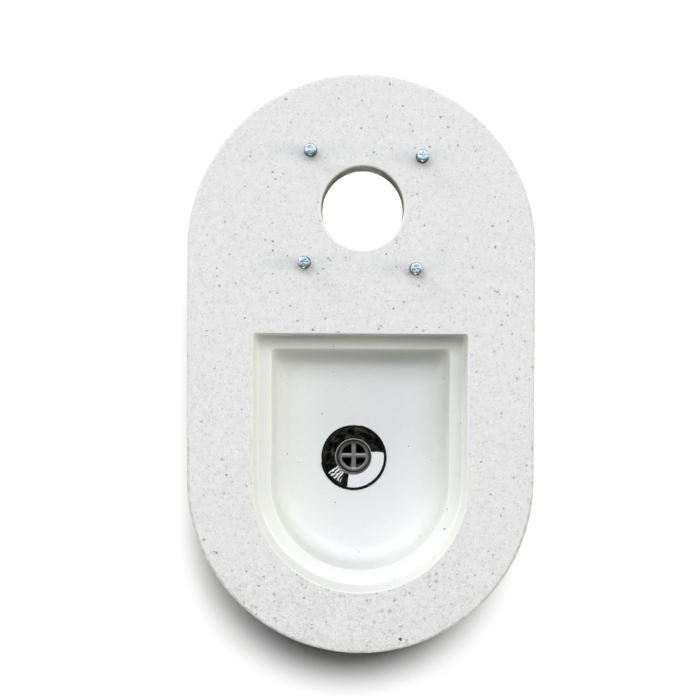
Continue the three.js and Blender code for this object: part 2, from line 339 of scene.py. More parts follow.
def terrazzo_material():
    """Ground white cement with fine marble chips, beige where the arris is worn open."""
    shader = Shader("ground_terrazzo")
    inputs = {"Vector": shader.place, "Scale": CHIP_WOBBLE_SCALE, "Detail": 2.0}
    wobble = shader.node("ShaderNodeTexNoise", inputs).outputs["Color"]
    inputs = {0: wobble, 1: (0.5, 0.5, 0.5)}
    centred = shader.node("ShaderNodeVectorMath", inputs, operation="SUBTRACT").outputs[0]
    inputs = {0: centred, 3: CHIP_WOBBLE}
    shift = shader.node("ShaderNodeVectorMath", inputs, operation="SCALE").outputs[0]
    place = shader.node("ShaderNodeVectorMath", {0: shader.place, 1: shift}).outputs[0]

    cloud = shader.noise(16.0, 4.0, 0.6)
    mottle = shader.noise(210.0, 3.0, 0.6)
    grain = shader.noise(1300.0, 2.0)
    matrix = shader.mix(cloud, (0.752, 0.751, 0.746), (0.785, 0.785, 0.782))
    matrix = shader.mix(shader.step(mottle, 0.62, 0.36), matrix, (0.722, 0.721, 0.716))
    colour = shader.mix(shader.step(grain, 0.45, 0.80), matrix, (0.80, 0.80, 0.797))
    chips = None
    x, y, _ = shader.node("ShaderNodeSeparateXYZ", {0: place}).outputs
    front = shader.step(y, FRONT_CHIPS_START, FRONT_CHIPS_FULL)
    for cells, share, front_share, dark, light in CHIP_KINDS:
        distance, pick, tone = shader.cells(cells, place)
        limit = shader.math("SUBTRACT", 1 - share, shader.math("MULTIPLY", front, front_share))
        chosen = shader.math("GREATER_THAN", pick, limit)
        inside = shader.step(distance, 0.62, 0.42)
        mask = shader.math("MULTIPLY", chosen, inside)
        colour = shader.mix(mask, colour, shader.mix(tone, dark, light))
        chips = mask if chips is None else shader.math("MAXIMUM", chips, mask)
    stone_x = shader.math("SUBTRACT", x, DARK_STONE[0])
    stone_y = shader.math("SUBTRACT", y, DARK_STONE[1])
    stone = shader.math("LESS_THAN", shader.length(stone_x, stone_y), DARK_STONE_RADIUS)
    colour = shader.mix(stone, colour, DARK_STONE_COLOUR)

    from_centre_y = shader.math("ADD", y, HALF_LENGTH - HALF_WIDTH)
    reach = shader.length(x, from_centre_y)
    band = shader.step(reach, HALF_WIDTH - WORN_BAND, HALF_WIDTH)
    band = shader.math("MULTIPLY", band, shader.step(y, WORN_START, WORN_FULL))
    band = shader.math("MULTIPLY", band, shader.step(shader.noise(24.0, 2.0), 0.40, 0.56))
    worn = shader.attribute("worn")
    patch = shader.math("MULTIPLY", worn, shader.step(shader.noise(160.0, 4.0, 0.65), 0.36, 0.56))
    scatter = shader.math("MULTIPLY", band, shader.step(shader.noise(480.0, 4.0, 0.7), 0.50, 0.60))
    patch = shader.math("MAXIMUM", patch, shader.math("MULTIPLY", scatter, SCATTER_SHARE))
    beige = shader.mix(shader.noise(520.0, 3.0), (0.46, 0.42, 0.36), (0.74, 0.715, 0.665))
    shader.colour(shader.mix(patch, colour, beige))

    pit_distance, pit_pick, _ = shader.cells(150.0, place)
    pitted = shader.math("GREATER_THAN", pit_pick, 1 - PITTED_CELLS)
    pit = shader.math("MULTIPLY", pitted, shader.step(pit_distance, 0.13, 0.06))
    rough = shader.mix(chips, grey(0.66), grey(0.45))
    shader.roughness(shader.mix(patch, rough, grey(0.88)))
    raised = shader.math("MULTIPLY", grain, 0.2)
    height = shader.math("ADD", raised, shader.math("MULTIPLY", patch, -0.8))
    shader.relief(shader.math("SUBTRACT", height, pit), TERRAZZO_RELIEF)
    return shader.material


def cast_skin_material(name, dark, light):
    """Smooth cement as it leaves the mould, with a few pinholes."""
    shader = Shader(name)
    cloud = shader.noise(9.0, 4.0, 0.55)
    fine = shader.noise(220.0, 3.0)
    base = shader.mix(cloud, dark, light)
    base = shader.mix(shader.step(fine, 0.3, 0.8), base, light)
    distance, pick, size = shader.cells(90.0)
    reach = shader.spread(size, 0.03, 0.08)
    near = shader.math("LESS_THAN", distance, reach)
    hole = shader.math("MULTIPLY", near, shader.math("GREATER_THAN", pick, 0.70))
    shader.colour(shader.mix(hole, base, (0.22, 0.21, 0.19)))
    shader.roughness(shader.spread(cloud, 0.42, 0.55))
    height = shader.math("SUBTRACT", shader.math("MULTIPLY", fine, 0.12), hole)
    shader.relief(height, 0.3 * MM)
    return shader.material


def raw_underside_material():
    """Cement struck off by hand: grey, sandy and full of air holes."""
    shader = Shader("raw_underside")
    cloud = shader.noise(26.0, 6.0, 0.65)
    sand = shader.noise(900.0, 4.0, 0.7)
    base = shader.mix(shader.step(cloud, 0.36, 0.64), (0.47, 0.465, 0.445), (0.70, 0.695, 0.675))
    base = shader.mix(shader.step(sand, 0.42, 0.80), base, (0.56, 0.555, 0.54))
    warp = shader.noise(300.0, 3.0)
    distance, pick, size = shader.cells(150.0)
    ragged = shader.math("ADD", distance, shader.math("MULTIPLY", warp, 0.30))
    near = shader.math("LESS_THAN", ragged, shader.spread(size, 0.17, 0.34))
    hole = shader.math("MULTIPLY", near, shader.math("GREATER_THAN", pick, 0.55))
    shader.colour(shader.mix(hole, base, (0.36, 0.355, 0.34)))
    shader.roughness(shader.spread(sand, 0.75, 0.95))
    height = shader.math("SUBTRACT", shader.math("MULTIPLY", sand, 0.5), hole)
    shader.relief(height, 0.8 * MM)
    return shader.material


def metal_material(name, dark, light, rough_low, rough_high, scale, relief, fleck=None):
    """Metal with cloudy tone and roughness, fine surface relief and optional dull flecks."""
    shader = Shader(name, metallic=1.0)
    cloud = shader.noise(scale, 5.0, 0.6)
    fine = shader.noise(scale * 14, 3.0, 0.6)
    tone = shader.mix(cloud, dark, light)
    if fleck:
        tone = shader.mix(shader.step(fine, 0.56, 0.70), tone, fleck)
    shader.colour(tone)
    shader.roughness(shader.spread(fine, rough_low, rough_high))
    shader.relief(fine, relief)
    return shader.material


def soft_material(name, dark, light, rough_low, rough_high, scale, relief):
    """Rubber or moulded plastic: even tone, faint clouding, a fine moulded grain."""
    shader = Shader(name)
    cloud = shader.noise(scale, 4.0, 0.6)
    grain = shader.noise(scale * 20, 2.0)
    shader.colour(shader.mix(cloud, dark, light))
    shader.roughness(shader.spread(grain, rough_low, rough_high))
    shader.relief(grain, relief)
    return shader.material


TERRAZZO = terrazzo_material()
CAST_SKIN = cast_skin_material("cast_skin", (0.795, 0.804, 0.782), (0.83, 0.836, 0.815))
# The tap hole's wall gets a darker copy of the cast skin: painted shade inside the hole.
SHADED_HOLE_WALL = cast_skin_material("painted_shade_hole_wall", (0.43, 0.43, 0.40), (0.52, 0.52, 0.49))
RAW_UNDERSIDE = raw_underside_material()
# Metals and soft materials: darkest and lightest colour, least and greatest roughness, clouds
# per metre, depth of the surface grain and, for some metals, the colour of dull flecks.
CHROME = metal_material(
    "mirror_chrome", (0.80, 0.805, 0.81), (0.84, 0.84, 0.845), 0.02, 0.06, 60.0, 0.002 * MM)
STRAINER_METAL = metal_material(
    "dull_strainer", (0.19, 0.186, 0.178), (0.30, 0.295, 0.283), 0.36, 0.52, 180.0, 0.03 * MM,
    (0.14, 0.137, 0.13))
THROAT_METAL = metal_material(
    "satin_throat", (0.52, 0.515, 0.50), (0.68, 0.675, 0.66), 0.34, 0.48, 120.0, 0.02 * MM)
# Near-black metal for the seat's inside and the tail's bore: painted shade down the drain.
SHADED_BORE_METAL = metal_material(
    "painted_shade_bore", (0.012, 0.011, 0.010), (0.03, 0.028, 0.025), 0.55, 0.75, 160.0, 0.03 * MM)
ZINC = metal_material(
    "blue_white_zinc", (0.14, 0.23, 0.27), (0.62, 0.76, 0.79), 0.26, 0.46, 50.0, 0.05 * MM,
    (0.07, 0.12, 0.14))
# A darker copy of the zinc for the studs' threaded sides: painted shade in the threads and on the
# side away from the light.
SHADED_THREAD_ZINC = metal_material(
    "shaded_thread_zinc", (0.09, 0.125, 0.14), (0.22, 0.28, 0.30), 0.38, 0.58, 90.0, 0.03 * MM,
    (0.05, 0.07, 0.08))
SOCKET_STEEL = metal_material(
    "galvanised_steel", (0.42, 0.43, 0.44), (0.60, 0.61, 0.62), 0.42, 0.60, 150.0, 0.03 * MM)
BRASS = metal_material(
    "plain_brass", (0.55, 0.38, 0.15), (0.70, 0.52, 0.25), 0.24, 0.40, 120.0, 0.02 * MM,
    (0.38, 0.24, 0.10))
RUBBER = soft_material(
    "black_rubber", (0.014, 0.014, 0.015), (0.03, 0.03, 0.031), 0.65, 0.9, 90.0, 0.04 * MM)
PLASTIC = soft_material(
    "white_plastic", (0.70, 0.70, 0.655), (0.78, 0.78, 0.74), 0.35, 0.5, 70.0, 0.01 * MM)

# ---------------------------------------------------------------- the casting

# Finishes of the casting; HOLE is the tap hole's wall, darkened as painted shade.
GROUND, CAST, RAW, HOLE = range(4)

SLAB_ARC_POINTS = 360
SLAB_SIDE_POINTS = 150
TOP_KNOCKS = 150
LOW_KNOCKS = 90
FRONT_PART = -0.06
SMALLEST_KNOCK = 1.0
LARGEST_FRONT_KNOCK = 3.6
LARGEST_REAR_KNOCK = 1.8
REAR_KNOCKS_KEPT = 0.4
# Worn stretches of the arris: direction from the slab's middle and half-width, both in
# degrees, and how worn they are.
FRONT_WEAR = ((-125, 26, 1.0), (-58, 20, 0.8), (-90, 60, 0.25))
WORN_DEPTH = 0.35 * MM
ARRIS_WAVE = 0.18 * MM
ARRIS_WAVE_SCALE = 260
BEIGE_KNOCK_DEPTH = 0.4 * MM


def slab_outline():
    """Points of the slab's outline with their outward directions."""
    reach = HALF_LENGTH - HALF_WIDTH
    outline = []
    for end in (1, -1):
        for i in range(SLAB_ARC_POINTS):
            angle = math.pi * i / SLAB_ARC_POINTS + (0 if end > 0 else math.pi)
            outward = (math.cos(angle), math.sin(angle))
            outline.append((HALF_WIDTH * outward[0], end * reach + HALF_WIDTH * outward[1], *outward))
        for i in range(SLAB_SIDE_POINTS):
            y = end * (reach - 2 * reach * i / SLAB_SIDE_POINTS)
            outline.append((-end * HALF_WIDTH, y, -end, 0))
    return outline


def chip_places(outline, count):
    """Random knocks along the arris, more and larger ones round the front end."""
    chips = []
    for _ in range(count):
        x, y, _, _ = DRAW.choice(outline)
        front = y < FRONT_PART
        largest = LARGEST_FRONT_KNOCK if front else LARGEST_REAR_KNOCK
        radius = DRAW.uniform(SMALLEST_KNOCK, largest) * MM
        if front or DRAW.random() < REAR_KNOCKS_KEPT:
            chips.append((x, y, radius, radius * DRAW.uniform(0.10, 0.28)))
    return chips


def knock(x, y, chips):
    """How deep the arris is knocked off at this place."""
    depth = 0.0
    for chip_x, chip_y, radius, deepest in chips:
        away = math.hypot(x - chip_x, y - chip_y)
        if away < radius:
            depth = max(depth, deepest * (1 - (away / radius) ** 2))
    return depth


def front_wear(x, y):
    """0 to 1: how worn open the arris is. Most at the two front quarters."""
    angle = math.degrees(math.atan2(y, x))
    wear = 0.0
    for worst, spread, most in FRONT_WEAR:
        wear = max(wear, most * math.exp(-(((angle - worst) / spread) ** 2)))
    return wear


def slab_rim(skin):
    """The slab's side with both arrises. Returns its lower and upper loop, and the worn places."""
    outline = slab_outline()
    top_chips = chip_places(outline, TOP_KNOCKS)
    low_chips = chip_places(outline, LOW_KNOCKS)
    profile = arc(SLAB_ARRIS, UNDERSIDE + SLAB_ARRIS, SLAB_ARRIS, 270, 180, 5)
    middle_height = (UNDERSIDE + TOP) / 2
    for above in (-8 * MM, 8 * MM):
        profile.append((0, middle_height + above))
    profile += arc(SLAB_ARRIS, TOP - SLAB_ARRIS, SLAB_ARRIS, 180, 90, 8)
    rows = []
    worn = []
    for inset, height in profile:
        upper = height > middle_height
        edge = TOP - SLAB_ARRIS if upper else UNDERSIDE + SLAB_ARRIS
        across = (SLAB_ARRIS - inset) / SLAB_ARRIS
        rise = abs(height - edge) / SLAB_ARRIS if (height > edge) == upper else 0.0
        share = 2 * across * rise
        row = []
        for x, y, out_x, out_y in outline:
            cut = knock(x, y, top_chips if upper else low_chips)
            wave = noise.noise(Vector((x, y, height)) * ARRIS_WAVE_SCALE) * ARRIS_WAVE
            wear = front_wear(x, y)
            bite = share * (cut + max(0.0, wave) * (0.5 + wear) + WORN_DEPTH * wear)
            slanted = bite * 0.7
            place = inset + slanted
            level = height - slanted if upper else height + slanted
            row.append((x - out_x * place, y - out_y * place, level))
            worn.append(min(1.0, (wear + cut / BEIGE_KNOCK_DEPTH) * min(1.0, share * 1.6)))
        rows.append(row)
    low, high = skin.strip(rows, GROUND)
    return low, high, worn


D_SIDE_POINTS = 60
D_CORNER_POINTS = 12
D_REAR_POINTS = 60
D_ROUND_POINTS = 200


def d_outline(half_width, rear, corner, height):
    """Counter-clockwise D: straight sides and rear, round corners, a half-round front end."""
    points = []
    side_end = rear - corner

    def line(start, end, count):
        for i in range(count):
            share = i / count
            points.append((start[0] + (end[0] - start[0]) * share,
                           start[1] + (end[1] - start[1]) * share, height))

    def turn(centre, radius, start, sweep, count):
        for i in range(count):
            points.append((*polar(centre, radius, start + sweep * i / count), height))

    inner = half_width - corner
    quarter = math.pi / 2
    line((half_width, RIM_FRONT_CENTRE), (half_width, side_end), D_SIDE_POINTS)
    turn((inner, side_end), corner, 0, quarter, D_CORNER_POINTS)
    line((inner, rear), (-inner, rear), D_REAR_POINTS)
    turn((-inner, side_end), corner, quarter, quarter, D_CORNER_POINTS)
    line((-half_width, side_end), (-half_width, RIM_FRONT_CENTRE), D_SIDE_POINTS)
    turn((0, RIM_FRONT_CENTRE), half_width, math.pi, math.pi, D_ROUND_POINTS)
    return points


def basin_profile():
    """(distance in from the rim's wall, height, corner radius) from the top face to the floor."""
    profile = []

    def add(points, corner, widening=0):
        """One round, whose corner radius grows by the widening on the way."""
        for i, (offset, height) in enumerate(points):
            profile.append((offset, height, corner + widening * i / (len(points) - 1)))

    ledge_foot = WALL_DRAFT + LEDGE_FILLET
    bowl_top = LEDGE - 0.4 * MM
    floor_foot = LEDGE_WIDTH + WALL_DRAFT + FLOOR_FILLET
    floor_edge = FLOOR + FLOOR_FALL
    add(arc(-RIM_ARRIS, TOP - RIM_ARRIS, RIM_ARRIS, 90, 0, 4), RIM_CORNER)
    add(arc(ledge_foot, LEDGE + LEDGE_FILLET, LEDGE_FILLET, 180, 270, 8), RIM_CORNER, 3 * MM)
    add(arc(LEDGE_WIDTH - BOWL_ARRIS, bowl_top - BOWL_ARRIS, BOWL_ARRIS, 90, 0, 6), BOWL_CORNER)
    add(arc(floor_foot, floor_edge + FLOOR_FILLET, FLOOR_FILLET, 180, 268, 14), BOWL_CORNER, 11 * MM)
    return profile


FLOOR_RINGS = 24
FLOOR_FALL_CURVE = 1.5
REBATE_EDGE = 0.3 * MM


def basin(skin):
    """The two-step basin down to the drain hole. Returns its loops in the top face and the boss."""
    rows = []
    for inset, height, corner in basin_profile():
        rows.append(d_outline(RIM_HALF_WIDTH - inset, RIM_REAR - inset, corner, height))
    edge = rows[-1]
    angles = [math.atan2(y - DRAIN[1], x - DRAIN[0]) for x, y, _ in edge]
    for ring in range(1, FLOOR_RINGS + 1):
        share = ring / FLOOR_RINGS
        row = []
        for (x, y, height), angle in zip(edge, angles):
            end_x, end_y = polar(DRAIN, REBATE_RADIUS + REBATE_EDGE, angle)
            level = FLOOR + (height - FLOOR) * (1 - share) ** FLOOR_FALL_CURVE
            row.append((x + (end_x - x) * share, y + (end_y - y) * share, level))
        rows.append(row)
    for radius, height in (
        (REBATE_RADIUS, FLOOR - REBATE_EDGE),
        (REBATE_RADIUS, FLOOR - REBATE_DEPTH),
        (DRAIN_HOLE_RADIUS, FLOOR - REBATE_DEPTH),
        (DRAIN_HOLE_RADIUS, BOSS_BOTTOM + DRAIN_HOLE_ARRIS),
        (DRAIN_HOLE_RADIUS + DRAIN_HOLE_ARRIS, BOSS_BOTTOM),
    ):
        rows.append([(*polar(DRAIN, radius, angle), height) for angle in angles])
    return skin.strip(rows, CAST)


def boss(skin):
    """The outside of the bowl below the slab. Returns its bottom loop and its root loop."""
    half_width = RIM_HALF_WIDTH - LEDGE_WIDTH + BOSS_WALL
    rear = RIM_REAR - LEDGE_WIDTH + BOSS_WALL
    taper = 1 * MM
    profile = arc(BOSS_ARRIS + taper, BOSS_BOTTOM + BOSS_ARRIS, BOSS_ARRIS, 270, 180, 6)
    profile += arc(-BOSS_ROOT, UNDERSIDE - BOSS_ROOT, BOSS_ROOT, 0, 90, 6)
    rows = []
    for inset, height in profile:
        corner = BOSS_WALL - inset * 0.6
        rows.append(d_outline(half_width - inset, rear - inset, corner, height))
    return skin.strip(rows, RAW)


TAP_HOLE_POINTS = 160
SMALL_HOLE_POINTS = 40


def tap_hole(skin):
    """The round hole with both its arrises. Returns its loops in the top face and the underside."""
    low_arris = 1 * MM
    arris = arc(-TAP_HOLE_ARRIS, TOP - TAP_HOLE_ARRIS, TAP_HOLE_ARRIS, 90, 0, 8)
    wall = [(0, TOP - TAP_HOLE_ARRIS - 0.5 * MM), (0, (TOP + UNDERSIDE) / 2)]
    wall += arc(-low_arris, UNDERSIDE + low_arris, low_arris, 0, -90, 4)
    arris = [(TAP_HOLE_RADIUS - inset, height) for inset, height in arris]
    wall = [(TAP_HOLE_RADIUS - inset, height) for inset, height in wall]
    top, arris_foot = skin.strip(circles(TAP_HOLE, arris, TAP_HOLE_POINTS), CAST)
    # The wall below the arris takes the darker hole finish, which is painted shade.
    wall_top, foot = skin.strip(circles(TAP_HOLE, wall, TAP_HOLE_POINTS), HOLE)
    skin.bridge(arris_foot, wall_top, HOLE)
    return top, foot


def stud_hole(skin, place):
    """Returns the hole's loops in the top face and the underside."""
    edge = 0.3 * MM
    profile = [
        (STUD_HOLE_RADIUS + edge, TOP),
        (STUD_HOLE_RADIUS, TOP - edge),
        (STUD_HOLE_RADIUS, UNDERSIDE + edge),
        (STUD_HOLE_RADIUS + edge, UNDERSIDE),
    ]
    return skin.strip(circles(place, profile, SMALL_HOLE_POINTS), CAST)


def socket_pocket(skin, place):
    """Open at the underside, wider at its blind end. Returns its loop in the underside."""
    slack = 0.3 * MM
    neck = SOCKET_RADIUS + slack
    foot = SOCKET_FOOT_RADIUS + slack
    foot_low = SOCKET_HIGH.z - SOCKET_FOOT_HEIGHT - slack
    ceiling = SOCKET_HIGH.z + slack
    profile = [(foot, ceiling), (foot, foot_low), (neck, foot_low), (neck, UNDERSIDE)]
    first, last = skin.strip(circles(place, profile, SMALL_HOLE_POINTS), RAW)
    skin.cap(first, (), RAW, up=False)
    return last


def casting():
    """The terrazzo body: slab rim, basin, boss and holes, joined by the flat faces between them."""
    skin = Skin()
    slab_low, slab_high, worn = slab_rim(skin)
    basin_top, basin_low = basin(skin)
    boss_low, boss_root = boss(skin)
    top_holes = [basin_top]
    low_holes = [boss_root]
    tap_top, tap_low = tap_hole(skin)
    top_holes.append(tap_top)
    low_holes.append(tap_low)
    for place in STUDS:
        stud_top, stud_low = stud_hole(skin, place)
        top_holes.append(stud_top)
        low_holes.append(stud_low)
    for place in SOCKETS:
        low_holes.append(socket_pocket(skin, place))
    skin.cap(slab_high, top_holes, GROUND, up=True)
    skin.cap(slab_low, low_holes, RAW, up=False)
    skin.cap(boss_low, [basin_low], RAW, up=False)
    piece = skin.build("casting", [TERRAZZO, CAST_SKIN, RAW_UNDERSIDE, SHADED_HOLE_WALL])
    layer = piece.data.attributes.new("worn", "FLOAT", "POINT")
    layer.data.foreach_set("value", worn + [0.0] * (len(skin.points) - len(worn)))
    seat(piece, "fountain_body", "head")


# ---------------------------------------------------------------- threads, nuts and washers


def thread_depth(turn, height, pitch, depth):
    """How far a thread's surface lies below its crest at this angle and height."""
    share = (height / pitch - turn) % 1.0
    slope = min(1.0, abs(share - 0.5) * 2 * 1.25)
    return depth * slope


def threaded_rows(place, radius, low, high, pitch, depth, count, outside=True):
    """Rows of a screw thread that fades out at both ends."""
    steps = max(2, round((high - low) / pitch * 8))
    rows = []
    for step in range(steps + 1):
        height = low + (high - low) * step / steps
        fade = min(1.0, min(height - low, high - height) / (pitch * 0.6))
        row = []
        for i in range(count):
            turn = i / count
            cut = fade * thread_depth(turn, height, pitch, depth)
            size = radius - cut if outside else radius + cut
            row.append((*polar(place, size, 2 * math.pi * turn), height))
        rows.append(row)
    return rows


M10_PITCH = 1.5 * MM
M10_DEPTH = 0.9 * MM
STUD_POINTS = 48
SAWN_DIP = 0.35 * MM


def tap_stud(side, place):
    """Threaded rod with a sawn and filed upper end."""
    skin = Skin()
    core = STUD_RADIUS - M10_DEPTH
    chamfer = 0.9 * MM
    low, high = STUD_LOW.z, STUD_HIGH.z
    edge = 0.3 * MM
    rows = circles(place, [(core - edge, low), (core, low + edge)], STUD_POINTS)
    for start, end in ((low + chamfer, UNDERSIDE + 1 * MM), (TOP - 3 * MM, high - chamfer)):
        rows += threaded_rows(place, STUD_RADIUS, start, end, M10_PITCH, M10_DEPTH, STUD_POINTS)
    # The threaded side takes the darker zinc, which is painted shade; the filed end keeps the plain
    # zinc.
    first, thread_end = skin.strip(rows, 1)
    filed = [(STUD_RADIUS - 0.45 * MM, high - 0.35 * MM), (core + 0.1 * MM, high - 0.05 * MM)]
    top_rows = circles(place, filed, STUD_POINTS)
    for share in (0.8, 0.6, 0.4, 0.2):
        row = []
        for x, y, _ in circle(place, core * share, high, STUD_POINTS):
            saw_marks = noise.noise(Vector((x * 520, y * 900, place[0] * 60)))
            row.append((x, y, high - max(0.0, saw_marks) * SAWN_DIP))
        top_rows.append(row)
    chamfer_edge, last = skin.strip(top_rows)
    skin.bridge(thread_end, chamfer_edge)
    skin.cap(first, (), 1, up=False)
    skin.cap(last, (), 0, up=True)
    piece = skin.build("stud_" + side, [ZINC, SHADED_THREAD_ZINC], sharp=50)
    seat(piece, "tap_stud_" + side, "head")


NUT_POINTS = 96
NUT_CROWN = 0.97
NUT_CHAMFER = 28


def hexagon_reach(angle, across_flats):
    """How far a hexagon's edge lies from its middle in this direction."""
    corner = math.pi / 3
    return across_flats / 2 / math.cos((angle % corner) - corner / 2)


def hexagon_nut(name, node, material, across_flats, bore, pitch, depth):
    """Hexagon nut with chamfered corners and a threaded bore."""
    low_corner, high_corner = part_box(node)
    place = middle(node)
    low, high = low_corner.z, high_corner.z
    skin = Skin()
    crown = across_flats / 2 * NUT_CROWN
    slope = math.tan(math.radians(NUT_CHAMFER))
    angles = [2 * math.pi * i / NUT_POINTS for i in range(NUT_POINTS)]

    def flank(height_at):
        row = []
        for angle in angles:
            reach = hexagon_reach(angle, across_flats)
            row.append((*polar(place, reach, angle), height_at(reach)))
        return row

    lead = 0.6 * MM
    mouth = bore + depth + lead / 2
    thread = threaded_rows(
        place, bore, low + lead, high - lead, pitch, depth, NUT_POINTS, outside=False)
    rows = [circle(place, crown, low, NUT_POINTS)]
    rows.append(flank(lambda reach: low + max(0.0, reach - crown) * slope))
    rows.append(flank(lambda reach: high - max(0.0, reach - crown) * slope))
    rows += circles(place, [(crown, high), (mouth, high)], NUT_POINTS)
    rows += reversed(thread)
    rows.append(circle(place, mouth, low, NUT_POINTS))
    first, last = skin.strip(rows)
    skin.bridge(last, first)
    seat(skin.build(name, [material], sharp=25), node, "head")


def ring_profile(bore, outer, low, high, edge, top_steps=3):
    """Section of a flat ring with rounded edges, from its underside out, up and in again."""
    return [
        *arc(outer - edge, low + edge, edge, -90, 0, 3),
        *arc(outer - edge, high - edge, edge, 0, 90, top_steps),
        *arc(bore + edge, high - edge, edge, 90, 180, top_steps),
        *arc(bore + edge, low + edge, edge, 180, 270, 3),
    ]


def ring_piece(name, node, material, bore, edge, count=96):
    """Flat ring with rounded edges, as large as its CAD node."""
    low_corner, high_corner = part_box(node)
    place = middle(node)
    low, high = low_corner.z, high_corner.z
    outer = (high_corner.x - low_corner.x) / 2
    profile = ring_profile(bore, outer, low, high, edge)
    skin = Skin()
    first, last = skin.strip(circles(place, profile, count))
    skin.bridge(last, first)
    seat(skin.build(name, [material]), node, "head")


# ---------------------------------------------------------------- basin waste

FLANGE_RADIUS = (WASTE_HIGH.x - WASTE_LOW.x) / 2
FLANGE_BODY_RADIUS = 27 * MM
FLANGE_BODY_DEPTH = 5.4 * MM
TAIL_RADIUS = 20.95 * MM
TAIL_BORE = 16.4 * MM
THROAT_RADIUS = 15.4 * MM
SEAT_LEVEL = LIP_TOP - 19 * MM
SEAT_OPENING = 12.6 * MM
G_PITCH = 2.309 * MM
G_DEPTH = 1.3 * MM
DISH_SLOPE_OUT = 14
DISH_SLOPE_IN = 23
WASTE_POINTS = 128


def waste_body():
    """Cast flange with a polished dish, a throat with a seat for the strainer, a threaded tail."""
    tail_chamfer = 1.4 * MM
    tail = [(TAIL_BORE, TAIL_END), (TAIL_RADIUS - tail_chamfer, TAIL_END)]
    edge_round = 0.3 * MM
    shoulder = 9.2 * MM
    crest = FLANGE_RADIUS - 2.4 * MM
    crown = arc(crest, LIP_TOP - shoulder, shoulder, 76, 90, 8)
    neck = [
        (TAIL_RADIUS, FLOOR - FLANGE_BODY_DEPTH - 2 * MM),
        (TAIL_RADIUS, FLOOR - FLANGE_BODY_DEPTH),
        (FLANGE_BODY_RADIUS, FLOOR - FLANGE_BODY_DEPTH),
        (FLANGE_BODY_RADIUS, FLOOR + 0.3 * MM),
        (FLANGE_RADIUS - 0.2 * MM, FLOOR + 0.3 * MM),
    ]
    rim = arc(FLANGE_RADIUS - edge_round, crown[0][1] - 2 * edge_round, edge_round, 0, 55, 4) + crown
    throat_round = 0.7 * MM
    bevel_slope = 30
    bevel_width = 0.4 * MM
    throat_mouth = THROAT_RADIUS + 0.9 * MM
    bevel_foot = throat_mouth + throat_round * (1 - math.sin(math.radians(bevel_slope)))
    dish_end = bevel_foot + bevel_width
    dish = []
    radius, height = rim[-1]
    dish_steps = 16
    stride = (crest - dish_end) / dish_steps
    for i in range(dish_steps):
        slope = DISH_SLOPE_OUT + (DISH_SLOPE_IN - DISH_SLOPE_OUT) * i / (dish_steps - 1)
        radius -= stride
        height -= stride * math.tan(math.radians(slope))
        dish.append((radius, height))
    bevel_low = height - bevel_width * math.tan(math.radians(bevel_slope))
    round_centre = bevel_low - throat_round * math.cos(math.radians(bevel_slope))
    turn_in = arc(throat_mouth + throat_round, round_centre, throat_round, 90 + bevel_slope, 170, 6)
    throat = [(THROAT_RADIUS, SEAT_LEVEL + 3.2 * MM), (THROAT_RADIUS, SEAT_LEVEL)]
    seat_low = SEAT_LEVEL - 3 * MM
    inside = [(SEAT_OPENING, SEAT_LEVEL), (SEAT_OPENING, seat_low), (TAIL_BORE, seat_low)]
    rows = circles(DRAIN, tail, WASTE_POINTS)
    thread_low = TAIL_END + 1 * MM
    thread_top = FLOOR - FLANGE_BODY_DEPTH - 9 * MM
    rows += threaded_rows(
        DRAIN, TAIL_RADIUS, thread_low, thread_top, G_PITCH, G_DEPTH, WASTE_POINTS)
    rows += circles(DRAIN, [*neck, *rim, *dish, *turn_in], WASTE_POINTS)
    # The seat's inside and the tail's bore take the near-black finish, which is painted shade.
    polished, dark, satin = range(3)
    skin = Skin()
    first, dish_foot = skin.strip(rows, polished)
    throat_top, seat_edge = skin.strip(circles(DRAIN, throat, WASTE_POINTS), satin)
    seat_top, last = skin.strip(circles(DRAIN, inside, WASTE_POINTS), dark)
    skin.bridge(dish_foot, throat_top, satin)
    skin.bridge(seat_edge, seat_top, satin)
    skin.bridge(last, first, dark)
    piece = skin.build("waste", [CHROME, SHADED_BORE_METAL, THROAT_METAL], sharp=35)
    return seat(piece, "waste_body", "head")


BAR_POINTS = 23
BAR_BLUNTNESS = 0.6
BAR_HEIGHT_SHARE = 0.44


